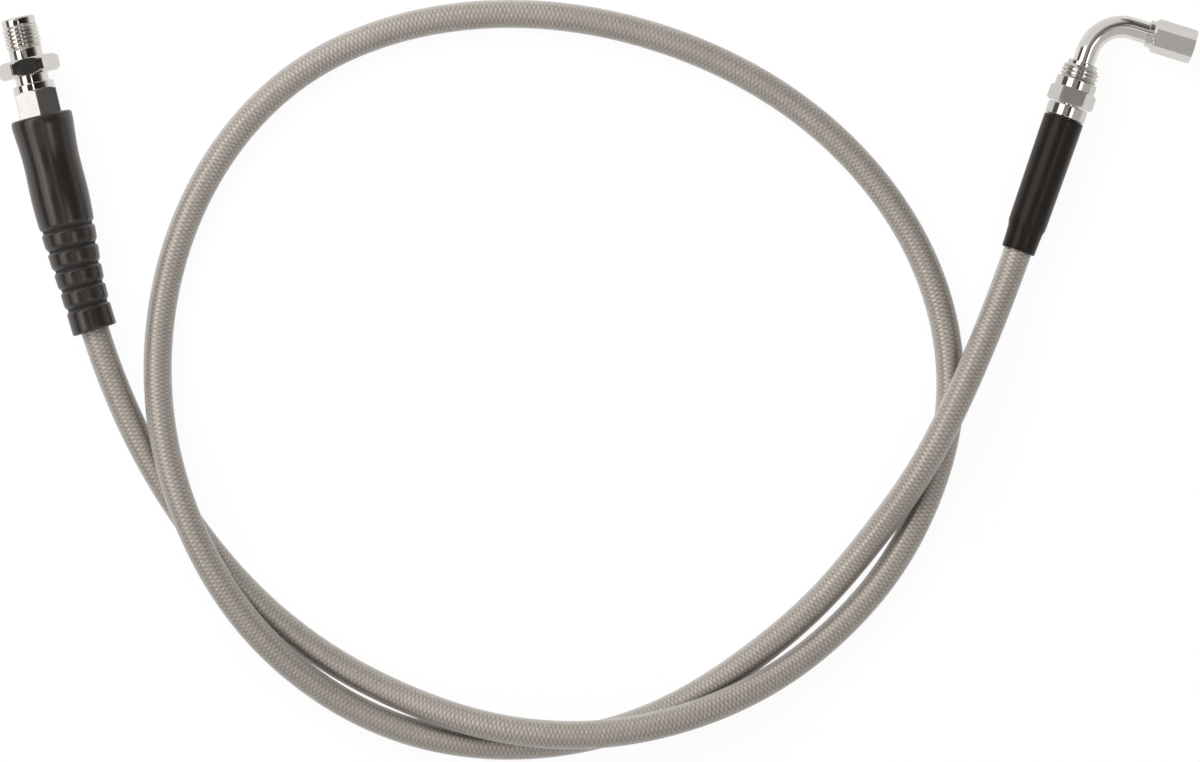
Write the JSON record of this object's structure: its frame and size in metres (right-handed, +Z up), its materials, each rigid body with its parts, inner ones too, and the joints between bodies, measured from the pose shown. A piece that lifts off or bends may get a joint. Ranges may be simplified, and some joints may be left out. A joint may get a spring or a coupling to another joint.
{
  "type": "braided clutch line",
  "caption": "Braided hydraulic hose lying in one loop, with a booted threaded union and lock nut at one end and a sleeved union with a bent tube at the other.",
  "frame": {"origin": "on the surface the line lies on, under the middle of the box round both end fittings, the hose left out", "axes": "+X from the booted end towards the bent tube's end, +Y towards both fittings' tips and away from the loop, +Z up off the surface"},
  "size_m": [0.3173, 0.2014, 0.0165],
  "materials": {
    "union_steel": "bright plated steel",
    "nut_steel": "bright plated steel",
    "left_shell_steel": "bright plated steel, hidden by the boot",
    "boot_rubber": "satin, very dark brown black",
    "liner_plastic": "milky white",
    "braid_steel": "fine stainless wire weave, warm grey",
    "cover_plastic": "clear, slightly glossy",
    "right_shell_steel": "bright plated steel",
    "sleeve_plastic": "near black, slightly glossy",
    "right_union_steel": "bright plated steel",
    "tube_steel": "bright plated steel",
    "end_hex_steel": "bright plated steel"
  },
  "bodies": {
    "root": {"left_union": "union_steel", "jam_nut": "nut_steel", "left_crimp_shell": "left_shell_steel", "rubber_boot": "boot_rubber", "hose_liner": "liner_plastic", "hose_braid": "braid_steel", "hose_cover": "cover_plastic", "right_crimp_shell": "right_shell_steel", "shrink_sleeve": "sleeve_plastic", "right_union": "right_union_steel", "bent_tube": "tube_steel", "tube_end_hex": "end_hex_steel"}
  },
  "joints": []
}
